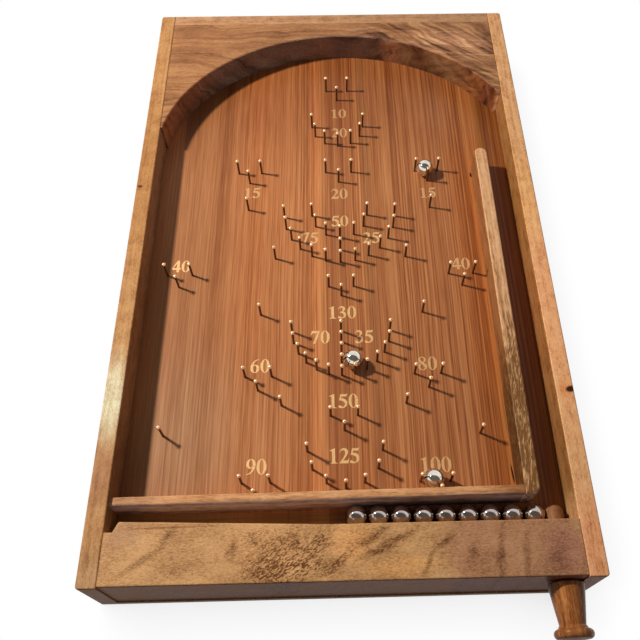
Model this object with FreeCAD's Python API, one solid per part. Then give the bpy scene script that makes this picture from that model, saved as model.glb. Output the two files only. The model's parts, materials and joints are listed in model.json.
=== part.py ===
"""Bagatelle board: a wooden tray with a pinned field, a firing lane, a sprung plunger and twelve steel balls.

Millimetres. +X is to the player's right, +Y runs up the board away from the player, +Z is up.
The origin is the centre of the case's underside, on the surface that the board lies on.
Distances named *_reach and the y values of the pin layout are measured from the front of the case.
"""
import FreeCAD, Part
import math
import os

Vector = FreeCAD.Vector
tolerance = 1e-6

# ---- case ----
case_width = 355.0
case_length = 570.0
case_height = 60.0
rail_thickness = 14.0
base_thickness = 6.0
corner_radius = 2.5
edge_radius = 1.2
fit_gap = 0.2

# ---- front block: its rear face bends rearward at the left, where its corner is notched ----
block_depth_left = 44.2
block_depth_right = 39.0
block_bend = -10.0
block_setback = 1.0
notch_width = 6.0
notch_depth = 7.6
notch_slant = 4.4

# ---- arch block: its cut-out is a quarter-ellipse each side of the crown ----
arch_crown_width = 20.0
arch_rise = 148.7
arch_shift = 7.0
arch_overrun = 0.5
left_leg_length = 144.0
right_leg_length = 101.0
arch_edge_radius = 0.8

# ---- playfield ----
field_drop = 28.0
field_thickness = 9.0
bearer_width = 12.0
cross_bearer_width = 20.0
cross_bearer_count = 3
cross_bearer_inset = 20.0

# ---- strips on the field ----
strip_height = 24.0
strip_edge_radius = 1.5
lane_width = 22.0
divider_thickness = 11.5
divider_length = 326.3
divider_corner_radius = 5.5
divider_tip_flat = 0.1
trough_clearance_left = 1.0
trough_clearance_right = 3.5
fence_thickness = 6.5

# ---- pins ----
pin_diameter = 1.9
pin_head_diameter = 3.6
pin_head_height = 1.4
pin_height = 19.0
pin_depth = 6.0
pin_hole_clearance = 0.05

# ---- pin layout: columns are distances from the field's centre line ----
field_centre_shift = 3.2
fifteen_column = 83.4
sixty_column = 68.3
ninety_column = 67.1
cup_guard_column = 57.4
low_guard_column = 49.3
left_wing_inset = 26.8
right_wing_inset = 22.0
vee_clearance = 1.8
vee_gap = 0.3
ten_vee_gap = 1.1
twenty_vee_gap = 1.2
twenty_vee_spread = 1.4
hundred_thirty_vee_gap = -1.7
ninety_vee_gap = -0.6
hundred_vee_spread = 0.5
hundred_vee_lean = 2.2
small_cup_radius = 25.0
large_cup_radius = 50.0
fifty_lead = 1.6
low_cup_radius = 40.7
low_cup_shift = -1.0
bottom_cup_radius = 28.7
centre_pin_lead = 13.0

# ---- pin layout: steps from row to row, as shares of the run from the fence to the arch's crown ----
ninety_step = 0.027
hundred_skew = -0.0035
bottom_cup_step = 0.050
wing_single_step = 0.025
wing_single_skew = 0.007
hundred_fifty_step = 0.036
low_guard_step = 0.020
sixty_step = 0.054
low_cup_step = 0.086
low_single_step = 0.036
hundred_thirty_step = 0.0575
wing_step = 0.024
wing_skew = 0.006
cup_guard_step = 0.040
large_cup_step = 0.096
outer_single_step = 0.020
fifteen_step = 0.093
upper_twenty_step = 0.124
ten_step = 0.106

# ---- balls ----
ball_diameter = 15.8
ball_gap = 0.2
ball_rest_gap = 0.15
pin_to_ball_gap = 0.3
trough_ball_count = 9
trough_row_drift = 1.45

# ---- plunger ----
rod_diameter = 12.7
rod_tip_reach = 53.0
rod_tip_radius = 4.5
rod_socket_depth = 20.0
bore_clearance = 0.2
bore_length = 8.0
chamber_clearance = 0.5
collar_lip = 2.0
collar_thickness = 1.2
collar_pin_diameter = 2.0
collar_pin_inset = 0.5
collar_inset = 2.2
running_gap = 0.1
spring_inset = 0.4
spring_wire = 0.9
spring_turns = 6
handle_gap = 0.3
handle_length = 36.5
handle_root_radius = 12.7
handle_neck_radius = 8.9
handle_neck_reach = 27.0
handle_disc_radius = 13.3
handle_disc_edge = 3.2
handle_flare_rise = 0.8
handle_face_dome = 1.0
handle_root_edge = 0.8

# ---- fasteners ----
screw_diameter = 3.0
screw_head_diameter = 6.0
screw_head_depth = 1.7
screw_length = 16.0
screw_slot = 0.8
screws_per_rail = 4
screw_end_inset = 60.0
block_screw_spacing = 200.0
nail_diameter = 2.0
nail_head_diameter = 3.6
nail_head_thickness = 0.8
nail_length = 40.0
nail_end_inset = 6.0
fastener_clearance = 0.05

# ---- places that follow from the sizes ----
front = -case_length / 2
back = case_length / 2
half_width = case_width / 2
inner_half = half_width - rail_thickness
back_inner = back - rail_thickness
field_top = case_height - field_drop
field_bottom = field_top - field_thickness
strip_top = field_top + strip_height
pin_top = field_top + pin_height
block_rear_left = front + block_depth_left
block_rear_right = front + block_depth_right
fence_front_left = block_rear_right + ball_diameter + trough_clearance_left
fence_front_right = block_rear_right + ball_diameter + trough_clearance_right
divider_right = inner_half - lane_width
divider_left = divider_right - divider_thickness
divider_front = fence_front_right
divider_rear = divider_front + divider_length
arch_crown = back_inner - arch_crown_width
pin_run_start = fence_front_right + fence_thickness
pin_run = arch_crown - pin_run_start
lane_centre = inner_half - lane_width / 2
ninety_row = ninety_step
hundred_row = ninety_row + hundred_skew
bottom_cup_row = ninety_row + bottom_cup_step
right_wing_single_row = bottom_cup_row + wing_single_step
left_wing_single_row = right_wing_single_row + wing_single_skew
hundred_fifty_row = right_wing_single_row + hundred_fifty_step
low_guard_row = hundred_fifty_row + low_guard_step
sixty_row = low_guard_row + sixty_step
low_cup_row = sixty_row + low_cup_step
low_single_row = low_cup_row + low_single_step
hundred_thirty_row = low_single_row + hundred_thirty_step
right_wing_row = hundred_thirty_row + wing_step
left_wing_row = right_wing_row + wing_skew
cup_guard_row = right_wing_row + cup_guard_step
large_cup_row = cup_guard_row + large_cup_step
outer_single_row = large_cup_row + outer_single_step
fifteen_row = outer_single_row + fifteen_step
upper_twenty_row = fifteen_row + upper_twenty_step
ten_row = upper_twenty_row + ten_step
ball_radius = ball_diameter / 2
ball_z = field_top + ball_rest_gap + ball_radius
block_front = front + block_setback
chamber_front = block_front + bore_length
handle_root = front - handle_gap
collar_diameter = rod_diameter + 2 * collar_lip
chamber_diameter = collar_diameter + 2 * chamber_clearance
collar_pin_length = collar_diameter - 2 * collar_pin_inset
spring_diameter = collar_diameter - 2 * spring_inset
collar_front = block_rear_right - collar_inset - collar_pin_diameter - collar_thickness - 2 * running_gap
collar_rear = collar_front + collar_thickness


# ---- shape helpers ----
def box(x0, x1, y0, y1, z0, z1):
    """Box between two corners."""
    return Part.makeBox(x1 - x0, y1 - y0, z1 - z0, Vector(x0, y0, z0))


def prism(edges, z0, z1):
    """Upright solid on a closed flat outline drawn at z = 0."""
    face = Part.Face(Part.Wire(Part.__sortEdges__(edges)))
    face.translate(Vector(0, 0, z0))
    return face.extrude(Vector(0, 0, z1 - z0))


def polygon(points):
    """Straight edges round a list of (x, y) corners."""
    corners = [Vector(x, y, 0) for x, y in points]
    return [Part.makeLine(a, b) for a, b in zip(corners, corners[1:] + corners[:1])]


def rod_along(axis, radius, length, start):
    """Cylinder from a start point along an axis."""
    return Part.makeCylinder(radius, length, start, axis)


def on_axis(y, radius=0.0):
    """Point beside the plunger's axis, in the upright plane through it."""
    return Vector(lane_centre, y, ball_z + radius)


def upright_edges(shape, x=None, y=None):
    """Vertical edges of a solid, at one x or one y if given."""
    chosen = []
    for edge in shape.Edges:
        a, b = edge.Vertexes[0].Point, edge.Vertexes[-1].Point
        upright = abs(a.x - b.x) < tolerance and abs(a.y - b.y) < tolerance and abs(a.z - b.z) > tolerance
        at_x = x is None or abs(a.x - x) < tolerance
        at_y = y is None or abs(a.y - y) < tolerance
        if upright and at_x and at_y:
            chosen.append(edge)
    return chosen


def dome(rim, apex, axis):
    """Arc from a rim to the apex of a spherical cap centred on the axis."""
    radius = (apex - rim).Length ** 2 / (2 * (apex - rim).dot(axis))
    centre = apex - axis * radius
    middle = (rim - centre) + (apex - centre)
    middle.normalize()
    return Part.Arc(rim, centre + middle * radius, apex).toShape()


def top_edges(shape, z):
    """Edges that lie at height z."""
    return [e for e in shape.Edges
            if abs(e.BoundBox.ZMin - z) < tolerance and abs(e.BoundBox.ZMax - z) < tolerance]


def save(node, shape):
    """Write one sub-part."""
    shape.exportStep(os.path.join("parts", node + ".step"))


# ---- fasteners ----
up, right, away = Vector(0, 0, 1), Vector(1, 0, 0), Vector(0, 1, 0)


def base_screw(x, y, clearance=0.0):
    """Countersunk screw driven up through the base; with a clearance, the space it needs."""
    shank = rod_along(up, screw_diameter / 2 + clearance, screw_length + clearance, Vector(x, y, 0))
    head = Part.makeCone(screw_head_diameter / 2 + clearance, screw_diameter / 2 + clearance,
                         screw_head_depth, Vector(x, y, 0), up)
    return shank.fuse(head)


def slotted(screw, x, y):
    """The same screw with its driver slot."""
    slot = box(x - screw_head_diameter, x + screw_head_diameter, y - screw_slot / 2, y + screw_slot / 2,
               0, screw_slot)
    return screw.cut(slot)


def frame_nail(side, y, z, clearance=0.0):
    """Nail through a side rail into the end board; side is -1 at the left and +1 at the right."""
    inward = Vector(-side, 0, 0)
    face = Vector(side * half_width, y, z)
    shank = rod_along(inward, nail_diameter / 2 + clearance, nail_length + clearance, face)
    head = rod_along(inward, nail_head_diameter / 2 + clearance, nail_head_thickness + clearance, face)
    return shank.fuse(head)


def screw_places():
    """Centres of the base screws: a row in each side rail, two in the front block, two in the back rail."""
    run = case_length - 2 * screw_end_inset
    rows = [front + screw_end_inset + run * i / (screws_per_rail - 1) for i in range(screws_per_rail)]
    places = [(side * (half_width - rail_thickness / 2), y) for side in (-1, 1) for y in rows]
    ends = [(block_front + block_rear_right) / 2, back - rail_thickness / 2]
    return places + [(side * block_screw_spacing / 2, y) for side in (-1, 1) for y in ends]


def nail_places():
    """Side, y and z of the nails, two at each corner of the case."""
    low = base_thickness + (field_bottom - base_thickness) / 2
    high = case_height - nail_end_inset
    ends = [(block_front + block_rear_right) / 2, back - rail_thickness / 2]
    return [(side, y, z) for side in (-1, 1) for y in ends for z in (low, high)]


screw_space = Part.makeCompound([base_screw(x, y, fastener_clearance) for x, y in screw_places()])
nail_space = Part.makeCompound([frame_nail(s, y, z, fastener_clearance) for s, y, z in nail_places()])


# ---- case ----
def side_rail(side):
    """Full-length side board, with its outer corners and its top edges eased."""
    x0, x1 = sorted((side * inner_half, side * half_width))
    rail = box(x0, x1, front, back, base_thickness, case_height)
    rail = rail.makeFillet(corner_radius, upright_edges(rail, x=side * half_width))
    rail = rail.makeFillet(edge_radius, top_edges(rail, case_height))
    return rail.cut(screw_space).cut(nail_space)


def back_rail():
    """Board across the back, between the side rails."""
    rail = box(-inner_half, inner_half, back_inner, back, base_thickness, case_height)
    outer = [e for e in top_edges(rail, case_height) if abs(e.BoundBox.YMin - back) < tolerance]
    return rail.makeFillet(edge_radius, outer).cut(screw_space).cut(nail_space)


def front_block():
    """Plank across the front, with the notch, the plunger's bore and the spring's chamber behind it."""
    outline = polygon([(-inner_half, block_front), (inner_half, block_front), (inner_half, block_rear_right),
                       (block_bend, block_rear_right), (-inner_half, block_rear_left)])
    block = prism(outline, base_thickness, case_height)
    long_edges = [e for e in top_edges(block, case_height) if e.Length > block_depth_left + edge_radius]
    block = block.makeFillet(edge_radius, long_edges)
    notch_front = block_rear_left - notch_depth
    notch_rear = block_rear_left + edge_radius
    notch = prism(polygon([(-inner_half, notch_front), (-inner_half + notch_width, notch_front),
                           (-inner_half + notch_width + notch_slant, notch_rear), (-inner_half, notch_rear)]),
                  field_top, case_height)
    bore = rod_along(away, rod_diameter / 2 + bore_clearance, bore_length, on_axis(block_front))
    chamber = rod_along(away, chamber_diameter / 2, block_depth_left, on_axis(chamber_front))
    return block.cut(notch).cut(bore.fuse(chamber)).cut(screw_space).cut(nail_space)


def arch_block():
    """Solid board at the back whose elliptical cut-out turns the ball from the lane into the field."""
    centre = Vector(arch_shift, arch_crown - arch_rise, 0)
    half = inner_half + arch_shift + arch_overrun
    left_end = back_inner - left_leg_length
    right_end = back_inner - right_leg_length
    board = box(-inner_half, inner_half, min(left_end, right_end), back_inner, field_top, case_height)
    ellipse = Part.Ellipse(centre, half, arch_rise)
    mouth = box(-case_width, case_width, front, centre.y, field_top, case_height)
    opening = prism([ellipse.toShape()], field_top, case_height).fuse(mouth)
    right_side = box(centre.x, half_width, front, right_end, field_top, case_height)
    board = board.cut(opening).cut(right_side)
    rim = [e for e in top_edges(board, case_height)
           if e.BoundBox.YMax < back_inner and e.Length > case_width / 2]
    return board.makeChamfer(arch_edge_radius, rim)


# ---- playfield and what carries it ----
def playfield_panel(pins):
    """Veneered floor of the tray, with a blind hole for every pin."""
    side = inner_half - fit_gap
    outline = polygon([(-side, block_rear_left + fit_gap), (block_bend, block_rear_right + fit_gap),
                       (side, block_rear_right + fit_gap), (side, back_inner - fit_gap),
                       (-side, back_inner - fit_gap)])
    panel = prism(outline, field_bottom, field_top)
    radius = pin_diameter / 2 + pin_hole_clearance
    holes = [rod_along(up, radius, pin_depth, Vector(x, y, field_top - pin_depth)) for x, y in pins]
    return panel.cut(Part.makeCompound(holes))


def side_bearer(side):
    """Batten along a side rail, between the base and the playfield."""
    x0, x1 = sorted((side * (inner_half - bearer_width), side * inner_half))
    return box(x0, x1, block_rear_left + fit_gap, back_inner - fit_gap, base_thickness, field_bottom)


def cross_bearers():
    """Battens across the tray between the side bearers."""
    first = block_rear_left + fit_gap
    last = back_inner - cross_bearer_inset - cross_bearer_width
    step = (last - first) / (cross_bearer_count - 1)
    reach = inner_half - bearer_width
    battens = [box(-reach, reach, first + step * i, first + step * i + cross_bearer_width,
                   base_thickness, field_bottom) for i in range(cross_bearer_count)]
    return Part.makeCompound(battens)


def base_panel():
    """Board that closes the underside, cut for the heads of its screws."""
    base = box(-half_width, half_width, front, back, 0, base_thickness)
    base = base.makeFillet(corner_radius, upright_edges(base))
    return base.cut(screw_space)


# ---- strips ----
def lane_divider():
    """Strip between the field and the lane: half-round at its far end, rounded at its front corner."""
    strip = box(divider_left, divider_right, divider_front, divider_rear, field_top, strip_top)
    strip = strip.makeFillet(divider_corner_radius, upright_edges(strip, x=divider_right, y=divider_front))
    tip = upright_edges(strip, y=divider_rear)
    strip = strip.makeFillet((divider_thickness - divider_tip_flat) / 2, tip)
    return strip.makeFillet(strip_edge_radius, top_edges(strip, strip_top))


def trough_fence():
    """Strip between the field and the ball trough, from the left rail to the divider."""
    outline = polygon([(-inner_half, fence_front_left), (divider_left, fence_front_right),
                       (divider_left, fence_front_right + fence_thickness),
                       (-inner_half, fence_front_left + fence_thickness)])
    strip = prism(outline, field_top, strip_top)
    long_edges = [e for e in top_edges(strip, strip_top) if e.Length > case_width / 2]
    return strip.makeFillet(strip_edge_radius, long_edges)


# ---- pins ----
vee_half = (ball_diameter + pin_diameter) / 2 + vee_clearance
left_wing = left_wing_inset - inner_half - field_centre_shift
right_wing = divider_left - right_wing_inset - field_centre_shift


def at(column, row):
    """A pin's place on the board, from its column and its row."""
    return (field_centre_shift + column, pin_run_start + row * pin_run)


def shifted(place, x, y):
    """A place moved by x and y."""
    return (place[0] + x, place[1] + y)


def cup(rim, radius, first=0, last=180, step=30):
    """Pins round a half circle that opens up the board; angles run from its left rim."""
    angles = [math.radians(a) for a in range(first, last + 1, step)]
    return [shifted(rim, -radius * math.cos(a), -radius * math.sin(a)) for a in angles]


def vee(rim, gap=vee_gap, spread=0.0, lean=0.0):
    """Three pins in a V that opens up the board, its low pin just too near the rim pins to pass a ball."""
    half = vee_half + spread
    depth = math.sqrt((ball_diameter + gap) ** 2 - (half + lean) ** 2)
    return [shifted(rim, -half, 0), shifted(rim, half, 0), shifted(rim, lean, -depth)]


def line_down(first, drop, count):
    """Pins in a line down the board, over a drop."""
    return [shifted(first, 0, -drop * i / (count - 1)) for i in range(count)]


def mirrored(column, row):
    """A pair of single pins, one each side of the centre line."""
    return [at(-column, row), at(column, row)]


large_rim = at(0, large_cup_row)
low_rim = at(low_cup_shift, low_cup_row)
pin_groups = {
    "ten_pins": vee(at(0, ten_row), ten_vee_gap),
    "upper_twenty_pins": cup(at(0, upper_twenty_row), small_cup_radius),
    "lower_twenty_pins": vee(at(0, fifteen_row), twenty_vee_gap, twenty_vee_spread),
    "left_fifteen_pins": vee(at(-fifteen_column, fifteen_row)),
    "right_fifteen_pins": vee(at(fifteen_column, fifteen_row)),
    "fifty_pins": cup(shifted(large_rim, 0, fifty_lead), small_cup_radius),
    "seventy_five_pins": cup(large_rim, large_cup_radius, 0, 75, 15),
    "twenty_five_pins": cup(large_rim, large_cup_radius, 105, 180, 15),
    "upper_centre_pins": line_down(shifted(large_rim, 0, centre_pin_lead - large_cup_radius),
                                   centre_pin_lead, 2),
    "one_hundred_thirty_pins": vee(at(0, hundred_thirty_row), hundred_thirty_vee_gap),
    "left_forty_pins": vee(at(left_wing, left_wing_row)),
    "right_forty_pins": vee(at(right_wing, right_wing_row)),
    "seventy_pins": cup(low_rim, low_cup_radius, 0, 75, 15),
    "thirty_five_pins": cup(low_rim, low_cup_radius, 105, 180, 15),
    "lower_centre_pins": line_down(low_rim, low_cup_radius, 5),
    "sixty_pins": vee(at(-sixty_column, sixty_row)),
    "eighty_pins": vee(at(sixty_column, sixty_row)),
    "one_hundred_fifty_pins": vee(at(0, hundred_fifty_row)),
    "one_hundred_twenty_five_pins": cup(at(0, bottom_cup_row), bottom_cup_radius),
    "ninety_pins": vee(at(-ninety_column, ninety_row), ninety_vee_gap),
    "one_hundred_pins": vee(at(ninety_column, hundred_row), spread=hundred_vee_spread, lean=hundred_vee_lean),
    "single_pins": (mirrored(fifteen_column, outer_single_row) + mirrored(cup_guard_column, cup_guard_row)
                    + mirrored(sixty_column, low_single_row) + mirrored(low_guard_column, low_guard_row)
                    + [at(left_wing, left_wing_single_row), at(right_wing, right_wing_single_row)]),
}


def pin():
    """Round-headed pin standing at the origin of the field, its shank in the panel and its head domed."""
    shank, head = pin_diameter / 2, pin_head_diameter / 2
    low, under, high = field_top - pin_depth, pin_top - pin_head_height, pin_top
    lower = [Vector(0, 0, low), Vector(shank, 0, low), Vector(shank, 0, under), Vector(head, 0, under)]
    edges = [Part.makeLine(a, b) for a, b in zip(lower, lower[1:])]
    edges.append(dome(lower[-1], Vector(0, 0, high), up))
    edges.append(Part.makeLine(Vector(0, 0, high), lower[0]))
    return Part.Face(Part.Wire(edges)).revolve(Vector(0, 0, 0), up, 360)


def pin_group(places):
    """One scoring cup's pins, each a separate solid."""
    model = pin()
    pins = []
    for x, y in places:
        pins.append(model.translated(Vector(x, y, 0)))
    return Part.makeCompound(pins)


# ---- balls ----
def ball(x, y):
    """Steel ball on the field."""
    return Part.makeSphere(ball_radius, Vector(x, y, ball_z))


def trough_ball_places():
    """The row of balls, from the one beside the plunger's tip leftwards; it drifts a little rearward."""
    first_x = lane_centre - rod_diameter / 2 - ball_radius - ball_gap
    first_y = block_rear_right + ball_radius + ball_gap
    pitch = ball_diameter + ball_gap
    step_y = trough_row_drift / (trough_ball_count - 1)
    step_x = math.sqrt(pitch ** 2 - step_y ** 2)
    return [(first_x - step_x * i, first_y + step_y * i) for i in range(trough_ball_count)]


def resting_on(left_pin, right_pin):
    """Centre of a ball that rests against two pins, on their upper side."""
    reach = ball_radius + pin_diameter / 2 + pin_to_ball_gap
    across = Vector(*right_pin, 0) - Vector(*left_pin, 0)
    rise = math.sqrt(reach ** 2 - (across.Length / 2) ** 2)
    middle = Vector(*left_pin, 0) + across / 2
    normal = up.cross(across).normalize()
    centre = middle + normal * rise
    return (centre.x, centre.y)


def field_ball_places():
    """Three balls that have come to rest: in the right fifteen, the thirty-five and the hundred."""
    fifteen_left, _, fifteen_low = pin_groups["right_fifteen_pins"]
    hundred_left, _, hundred_low = pin_groups["one_hundred_pins"]
    divider_pin = pin_groups["lower_centre_pins"][-2]
    arc_pin = pin_groups["thirty_five_pins"][0]
    return {
        "field_ball_fifteen": resting_on(fifteen_left, fifteen_low),
        "field_ball_thirty_five": resting_on(divider_pin, arc_pin),
        "field_ball_hundred": resting_on(hundred_left, hundred_low),
    }


# ---- plunger ----
def plunger_handle():
    """Turned handle: a tapering grip that ends in a round-edged disc, bored for the rod."""
    root = handle_root
    neck = root - handle_neck_reach
    tip = root - handle_length
    disc_rear = tip + handle_face_dome + 2 * handle_disc_edge
    disc_middle = tip + handle_face_dome + handle_disc_edge
    flare = on_axis((neck + disc_rear) / 2, handle_neck_radius + handle_flare_rise)
    rim_rear = on_axis(disc_rear, handle_disc_radius - handle_disc_edge)
    rim_front = on_axis(tip + handle_face_dome, handle_disc_radius - handle_disc_edge)
    edges = [
        Part.makeLine(on_axis(root), on_axis(root, handle_root_radius - handle_root_edge)),
        Part.makeLine(on_axis(root, handle_root_radius - handle_root_edge),
                      on_axis(root - handle_root_edge, handle_root_radius)),
        Part.makeLine(on_axis(root - handle_root_edge, handle_root_radius), on_axis(neck, handle_neck_radius)),
        Part.Arc(on_axis(neck, handle_neck_radius), flare, rim_rear).toShape(),
        Part.Arc(rim_rear, on_axis(disc_middle, handle_disc_radius), rim_front).toShape(),
        dome(rim_front, on_axis(tip), away * -1),
        Part.makeLine(on_axis(tip), on_axis(root)),
    ]
    grip = Part.Face(Part.Wire(edges)).revolve(on_axis(0), away, 360)
    socket = rod_along(away, rod_diameter / 2 + fastener_clearance, rod_socket_depth,
                       on_axis(root - rod_socket_depth))
    return grip.cut(socket)


def plunger_rod():
    """Round wooden rod from the handle's socket to the domed tip in the lane, cross-drilled for its pin."""
    start = handle_root - rod_socket_depth
    tip = front + rod_tip_reach
    rod = rod_along(away, rod_diameter / 2, tip - start, on_axis(start))
    end = [e for e in rod.Edges
           if abs(e.BoundBox.YMin - tip) < tolerance and abs(e.BoundBox.YMax - tip) < tolerance]
    rod = rod.makeFillet(rod_tip_radius, end)
    return rod.cut(collar_pin(fastener_clearance))


def rod_collar():
    """Washer that the spring pushes on."""
    outer = rod_along(away, collar_diameter / 2, collar_thickness, on_axis(collar_front))
    inner = rod_along(away, rod_diameter / 2 + fastener_clearance, collar_thickness, on_axis(collar_front))
    return outer.cut(inner)


def collar_pin(clearance=0.0):
    """Cross pin that holds the washer on the rod."""
    y = collar_rear + running_gap + collar_pin_diameter / 2
    start = Vector(lane_centre - collar_pin_length / 2, y, ball_z)
    return rod_along(right, collar_pin_diameter / 2 + clearance, collar_pin_length, start)


def plunger_spring():
    """Open coil between the chamber's shoulder and the washer."""
    wire = spring_wire / 2
    start = chamber_front + wire + running_gap
    length = collar_front - running_gap - wire - start
    radius = spring_diameter / 2 - wire
    path = Part.makeHelix(length / spring_turns, length, radius)
    section = Part.Wire(Part.makeCircle(wire, Vector(radius, 0, 0), away))
    coil = Part.Wire(path.Edges).makePipeShell([section], True, True)
    coil.rotate(Vector(0, 0, 0), right, -90)
    coil.translate(on_axis(start))
    return coil


# ---- build ----
os.makedirs("parts", exist_ok=True)

all_pins = [place for places in pin_groups.values() for place in places]

save("left_rail", side_rail(-1))
save("right_rail", side_rail(1))
save("back_rail", back_rail())
save("front_block", front_block())
save("arch_block", arch_block())
save("playfield_panel", playfield_panel(all_pins))
save("bearer_left", side_bearer(-1))
save("bearer_right", side_bearer(1))
save("cross_bearers", cross_bearers())
save("base_panel", base_panel())
save("lane_divider", lane_divider())
save("trough_fence", trough_fence())
save("base_screws", Part.makeCompound([slotted(base_screw(x, y), x, y) for x, y in screw_places()]))
save("frame_nails", Part.makeCompound([frame_nail(s, y, z) for s, y, z in nail_places()]))
save("plunger_handle", plunger_handle())
save("plunger_rod", plunger_rod())
save("rod_collar", rod_collar())
save("collar_pin", collar_pin())
save("plunger_spring", plunger_spring())
for node, places in pin_groups.items():
    save(node, pin_group(places))
for number, (x, y) in enumerate(trough_ball_places(), start=1):
    save("trough_ball_%d" % number, ball(x, y))
for node, (x, y) in field_ball_places().items():
    save(node, ball(x, y))
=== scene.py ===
"""Bagatelle board: the finishes, painted numerals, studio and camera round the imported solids.

Metres, in the board's own frame: +X to the player's right, +Y up the board, +Z up, and the origin under
its centre. Materials work in millimetres of that frame, and their colours are written as 0 to 255 swatches.
"""

import json
import math

import bpy
from mathutils import Matrix, Vector


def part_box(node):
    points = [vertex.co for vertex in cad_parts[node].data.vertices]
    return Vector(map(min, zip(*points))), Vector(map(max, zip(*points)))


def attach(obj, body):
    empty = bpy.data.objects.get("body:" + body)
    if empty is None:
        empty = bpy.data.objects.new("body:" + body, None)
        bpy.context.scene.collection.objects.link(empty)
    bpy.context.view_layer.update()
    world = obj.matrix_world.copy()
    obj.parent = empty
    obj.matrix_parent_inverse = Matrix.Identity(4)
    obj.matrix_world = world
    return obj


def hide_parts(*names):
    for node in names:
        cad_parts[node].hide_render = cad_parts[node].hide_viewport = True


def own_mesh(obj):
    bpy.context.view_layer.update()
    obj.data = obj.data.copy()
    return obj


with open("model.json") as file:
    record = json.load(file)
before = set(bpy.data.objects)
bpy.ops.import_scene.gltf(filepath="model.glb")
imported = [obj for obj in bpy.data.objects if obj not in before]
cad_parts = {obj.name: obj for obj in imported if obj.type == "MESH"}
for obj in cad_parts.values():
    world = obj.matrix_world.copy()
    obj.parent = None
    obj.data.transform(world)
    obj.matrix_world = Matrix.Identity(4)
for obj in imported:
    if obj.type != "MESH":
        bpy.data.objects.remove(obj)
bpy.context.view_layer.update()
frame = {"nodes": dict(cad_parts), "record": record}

MM = 0.001

# ---- camera: where it stands, where it looks, and its frame ----
camera_place = Vector((-2.5, -376.2, 571.2)) * MM
camera_turn = math.radians(1.92)
camera_drop = math.radians(59.55)
camera_roll = math.radians(0.56)
image_side = 640
focal_length_px = 736.9
image_axis_px = (347.5, 309.9)
sensor_width = 36.0

# ---- light: a key lamp, an even fill, and the dim side of the room that mirrors see ----
key_place = Vector((-0.70, 0.22, 0.83))
key_target = Vector((0, 0, 0.03))
key_size = 0.085
key_power = 12.0
key_tint = (1.0, 0.92, 0.80)
fill_strength = 0.155
fill_tint = (0.92, 0.96, 1.0)
white = (1, 1, 1, 1)
dim_colour = (0.15, 0.138, 0.118, 1.0)
dim_heading = Vector((0.0, -0.25, 0.97)).normalized()
dim_long_side = Vector((0.95, -0.27, -0.16)).normalized()
dim_stretch = 0.6
dim_edge = (0.76, 0.86)

# ---- places taken from the solids, in mm ----
spring_low, spring_high = (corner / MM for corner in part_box("plunger_spring"))
inner_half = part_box("right_rail")[0].x / MM
field_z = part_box("playfield_panel")[1].z / MM
pin_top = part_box("single_pins")[1].z / MM
pin_head_height = 1.4
divider_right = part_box("lane_divider")[1].x / MM
trough_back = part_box("trough_fence")[0].y / MM

# ---- directions that a face can look in ----
top, front, leftward, rightward = (0, 0, 1), (0, -1, 0), (-1, 0, 0), (1, 0, 0)


# ---- nodes ----
ragged_scales = (0.12, 0.12, 0.12)
facing_span = (0.5, 0.8)


def swatch(red, green, blue):
    """Linear colour of a swatch given as 0 to 255."""
    def linear(value):
        value /= 255
        return value / 12.92 if value <= 0.04045 else ((value + 0.055) / 1.055) ** 2.4
    return (linear(red), linear(green), linear(blue), 1.0)


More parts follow.
